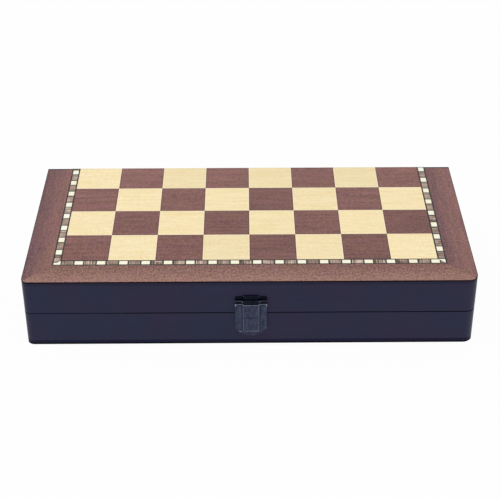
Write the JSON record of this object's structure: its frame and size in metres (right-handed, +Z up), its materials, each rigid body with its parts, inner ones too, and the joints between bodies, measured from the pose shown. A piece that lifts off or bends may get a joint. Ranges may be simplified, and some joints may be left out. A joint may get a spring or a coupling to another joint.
{
  "type": "folding chess board",
  "caption": "Folding wooden chess case: two lined trays hinged at the back, board veneers outside with a marquetry band, snap catch on the front.",
  "frame": {"origin": "middle of the closed case's underside", "axes": "+X along the case to the right seen from the catch, +Y to the hinges, +Z up"},
  "size_m": [0.38, 0.1945, 0.065],
  "materials": {
    "lacquered_board": "satin black lacquer on fibreboard",
    "lacquered_rail": "satin black lacquer on pine",
    "mahogany_veneer": "open-pored mahogany veneer, matt varnish",
    "maple_veneer": "maple veneer, satin varnish",
    "mahogany_squares": "mahogany veneer, satin varnish",
    "black_stringing": "dyed black stringing",
    "cream_slips": "holly slips",
    "tan_slips": "pear slips",
    "brown_slips": "mahogany slips",
    "dark_slips": "dyed slips",
    "green_felt": "glued felt",
    "brass": "brushed brass",
    "brass_screws": "brass screws",
    "steel_pins": "drawn steel wire",
    "blackened_steel": "blackened pressed steel"
  },
  "bodies": {
    "base": {"base_panel": "lacquered_board", "base_front_rail": "lacquered_rail", "base_back_rail": "lacquered_rail", "base_left_rail": "lacquered_rail", "base_right_rail": "lacquered_rail", "base_front_border": "mahogany_veneer", "base_left_border": "mahogany_veneer", "base_right_border": "mahogany_veneer", "base_light_squares": "maple_veneer", "base_dark_squares": "mahogany_squares", "base_band_lines": "black_stringing", "base_band_creams": "cream_slips", "base_band_tans": "tan_slips", "base_band_browns": "brown_slips", "base_band_darks": "dark_slips", "base_lining": "green_felt", "hinge_left_base_leaf": "brass", "hinge_left_pin": "steel_pins", "hinge_right_base_leaf": "brass", "hinge_right_pin": "steel_pins", "hinge_base_screws": "brass_screws", "catch_keeper": "blackened_steel", "catch_keeper_nails": "blackened_steel"},
    "lid": {"lid_panel": "lacquered_board", "lid_front_rail": "lacquered_rail", "lid_back_rail": "lacquered_rail", "lid_left_rail": "lacquered_rail", "lid_right_rail": "lacquered_rail", "lid_front_border": "mahogany_veneer", "lid_left_border": "mahogany_veneer", "lid_right_border": "mahogany_veneer", "lid_light_squares": "maple_veneer", "lid_dark_squares": "mahogany_squares", "lid_band_lines": "black_stringing", "lid_band_creams": "cream_slips", "lid_band_tans": "tan_slips", "lid_band_browns": "brown_slips", "lid_band_darks": "dark_slips", "lid_lining": "green_felt", "hinge_left_lid_leaf": "brass", "hinge_right_lid_leaf": "brass", "hinge_lid_screws": "brass_screws", "catch_plate": "blackened_steel", "catch_plate_nails": "blackened_steel", "catch_pin": "steel_pins"},
    "catch_flap": {"catch_flap": "blackened_steel"}
  },
  "joints": [
    {"name": "lid_hinge", "type": "hinge", "parent": "base", "child": "lid", "pos_m": [0, 0.0944, 0.0325], "axis": [-1, 0, 0], "range_deg": [0, 180]},
    {"name": "catch_hinge", "type": "hinge", "parent": "lid", "child": "catch_flap", "pos_m": [0.0008, -0.09635, 0.0447], "axis": [-1, 0, 0], "range_deg": [0, 150]}
  ]
}
